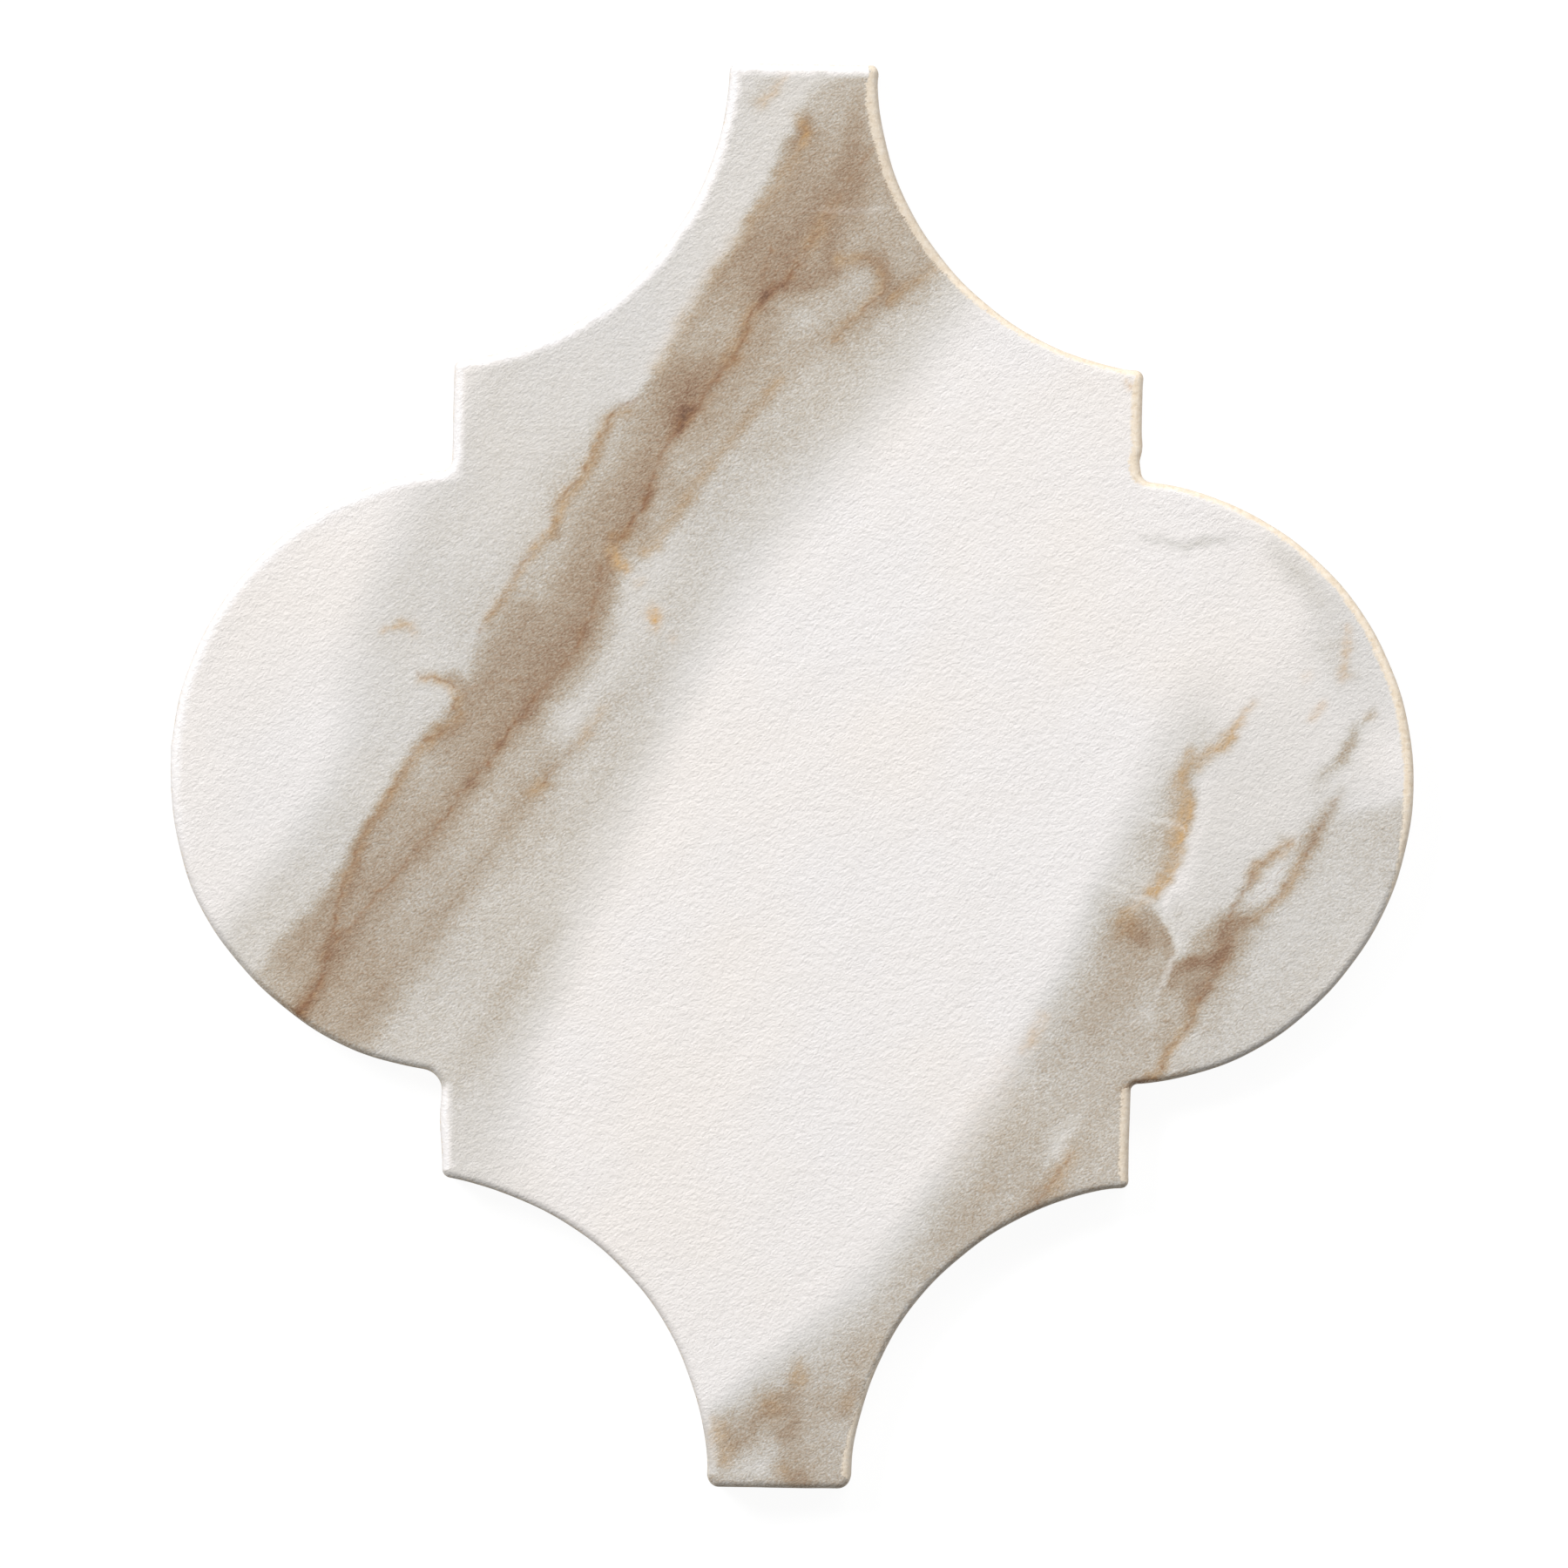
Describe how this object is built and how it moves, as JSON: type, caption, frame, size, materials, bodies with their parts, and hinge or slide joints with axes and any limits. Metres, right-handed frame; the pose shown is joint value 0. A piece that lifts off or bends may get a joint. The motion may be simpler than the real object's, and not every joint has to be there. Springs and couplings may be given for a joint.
{
  "type": "arabesque tile",
  "caption": "Lantern-shaped porcelain wall and floor tile with marble veining, round lobes, stepped shoulders, straight necks, a soft glazed edge and a keyed back.",
  "frame": {"origin": "middle of the back, on the surface that the tile lies on", "axes": "+Z out of the glazed face, +Y along the tile to the neck with the squarer corners, +X to the right lobe seen from above with +Y up"},
  "size_m": [0.2, 0.229, 0.009],
  "materials": {
    "glazed_porcelain": "matt glaze over cream porcelain, white marble ground with taupe bands and brown and golden veins, bare cream sides and back"
  },
  "bodies": {
    "root": {"tile": "glazed_porcelain"}
  },
  "joints": []
}
